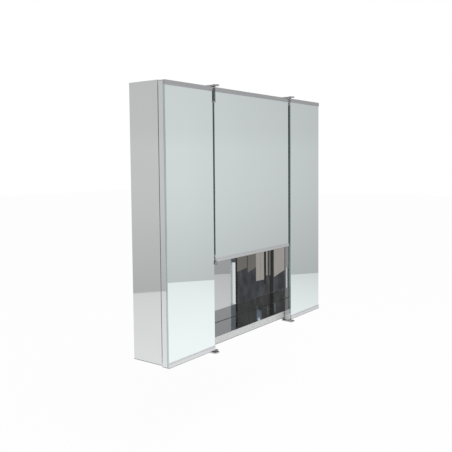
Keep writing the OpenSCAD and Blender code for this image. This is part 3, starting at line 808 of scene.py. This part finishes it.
BOARD_TOP = 0.10
FLOOR_LINE = -0.302
LEFT_END, RIGHT_END = -0.130, 0.108
STILE_LEFT, STILE_RIGHT = -0.112, 0.1055
board_facing = UP.cross(TO_CAMERA)
# Each row gives a board's name, its two ends across the line to the camera, the heights of its
# lower corners there, its top, how far it stands behind the first boards, and its material. The
# niche mirrors what lies between STILE_LEFT and STILE_RIGHT, and the right door's stile the rest.
for name, ends, feet, top, behind, material in (
    ("dark_board", (LEFT_END, RIGHT_END), ON_FLOOR, -0.19, 0.03, dark_cloth),
    ("light_card", (-0.80, 0.80), ON_FLOOR, 1.0, 0.5, card_white),
    ("brown_board", (LEFT_END, RIGHT_END), (-0.20, -0.20), BOARD_TOP, 0.04, brown_cloth),
    ("deep_tan_board_far", (0.059, 0.104), (-0.325, -0.346), TAN_TOP, 0.0, deep_tan),
    ("deep_tan_board_near", (0.019, 0.055), (-0.323, -0.348), TAN_TOP, 0.0, deep_tan),
    ("pale_tan_board_middle", (-0.016, 0.019), (-0.379, -0.386), TAN_TOP, 0.0, pale_tan),
    ("pale_tan_slat", (-0.032, -0.026), (-0.36, -0.36), TAN_TOP, 0.0, pale_tan),
    ("deep_tan_slat", (-0.045, -0.039), (-0.36, -0.36), TAN_TOP, 0.0, deep_tan),
    ("pale_tan_board_end", (STILE_LEFT, -0.060), (-0.332, -0.368), TAN_TOP, 0.0, pale_tan),
    ("black_board_edge", (STILE_LEFT, -0.106), ON_FLOOR, BOARD_TOP, 0.0, brown_black),
    ("grey_board_foot", (-0.150, -0.1160), ON_FLOOR, -0.46, 0.0, slate_grey),
    ("pale_board", (-0.1232, -0.1160), (-0.46, -0.46), -0.325, 0.0, white_paint),
    ("grey_board_top", (-0.1275, STILE_LEFT), (-0.325, -0.325), BOARD_TOP, 0.0, mauve_grey),
    ("dark_board_near", (-0.150, STILE_LEFT), ON_FLOOR, BOARD_TOP, 0.003, dim_grey),
    ("bright_board_far", (STILE_RIGHT, 0.140), ON_FLOOR, FLOOR_LINE, 0.0, lit_white),
    ("grey_board_far", (0.1180, 0.1232), ON_FLOOR, FLOOR_LINE, -0.003, soft_grey),
    ("dark_cap_far", (STILE_RIGHT, 0.122), (FLOOR_LINE, FLOOR_LINE), -0.245, 0.0, dim_grey),
    ("dim_board_far", (STILE_RIGHT, 0.140), (FLOOR_LINE, FLOOR_LINE), BOARD_TOP, 0.003, slate_grey),
    ("black_post", (-0.057, -0.041), ON_FLOOR, BOARD_TOP, 0.02, brown_black),
    ("black_slat", (-0.025, -0.017), (-0.40, -0.40), TAN_TOP, 0.0, brown_black),
    ("lamp_glint", (0.002, 0.011), (-0.047, -0.049), -0.031, 0.0, lamp_light),
    ("lamp_haze", (-0.004, 0.017), (-0.080, -0.084), -0.020, 0.01, lamp_haze),
    ("lamp_streak", (-0.067, -0.062), (-0.118, -0.118), -0.074, 0.01, lamp_haze),
    ("lamp_line", (-0.033, -0.030), (-0.100, -0.100), -0.066, 0.01, lamp_haze),
    ("lamp_spot", (0.012, 0.018), (-0.098, -0.100), -0.092, 0.0, lamp_haze),
):
    stand = NICHE_CORNER + TO_CAMERA * (BOARD_GAP + behind)
    shown = board(name, stand, board_facing, ends, feet, top, material)
    shown.visible_diffuse = False
    shown.visible_shadow = False


# Light
# One soft box hangs in front of the cabinet, above it and to its left. The rest
# comes from the glowing walls and a grey sky, which the camera sees as white.
BOX_PLACE = Vector((-0.8, -1.3, 1.8))
BOX_AIM = Vector((0, -0.05, 0))
SKY_GREY = (0.55, 0.55, 0.55, 1)
lamp = bpy.data.lights.new("soft_box", "AREA")
lamp.shape = "RECTANGLE"
lamp.size = 1.6
lamp.size_y = 1.2
lamp.energy = 12
soft_box = bpy.data.objects.new("soft_box", lamp)
soft_box.location = BOX_PLACE
soft_box.rotation_euler = (BOX_AIM - BOX_PLACE).to_track_quat("-Z", "Y").to_euler()
soft_box.visible_glossy = False
soft_box.visible_camera = False
bpy.context.scene.collection.objects.link(soft_box)

world = bpy.data.worlds.new("studio_sky")
bpy.context.scene.world = world
world.use_nodes = True
world.node_tree.nodes.clear()
sky = Wire(world.node_tree)
seen = sky.node("ShaderNodeLightPath", output="Is Camera Ray")
backdrop = seen.mix(SKY_GREY, WHITE)
light = sky.node("ShaderNodeBackground", inputs={"Color": backdrop, "Strength": 1.0})
sky.node("ShaderNodeOutputWorld", inputs={"Surface": light})


# Camera
# It stands to the left of the cabinet, a little above its middle, and looks
# slightly down. The frame is shifted down a little, as in the photograph.
CAMERA_PLACE = Vector((-1.36316, -1.02220, 0.13500))
YAW = math.radians(53.468)
PITCH = math.radians(3.754)
ROLL = math.radians(-0.531)
SENSOR = 36.0
FRAME_PX = 452
FOCAL_PX = 618.47
AXIS_PX_Y = 204.07
camera_data = bpy.data.cameras.new("camera")
camera_data.sensor_width = SENSOR
camera_data.lens = FOCAL_PX * SENSOR / FRAME_PX
camera_data.shift_y = (AXIS_PX_Y - FRAME_PX / 2) / FRAME_PX
camera = bpy.data.objects.new("camera", camera_data)
forward = Vector((math.sin(YAW) * math.cos(PITCH), math.cos(YAW) * math.cos(PITCH), -math.sin(PITCH)))
level = Vector((math.cos(YAW), -math.sin(YAW), 0))
upright = level.cross(forward)
right = level * math.cos(ROLL) + upright * math.sin(ROLL)
up = upright * math.cos(ROLL) - level * math.sin(ROLL)
turn = Matrix((right, up, -forward)).transposed()
camera.matrix_world = Matrix.Translation(CAMERA_PLACE) @ turn.to_4x4()
bpy.context.scene.collection.objects.link(camera)
bpy.context.scene.camera = camera
bpy.context.scene.view_settings.view_transform = "Standard"
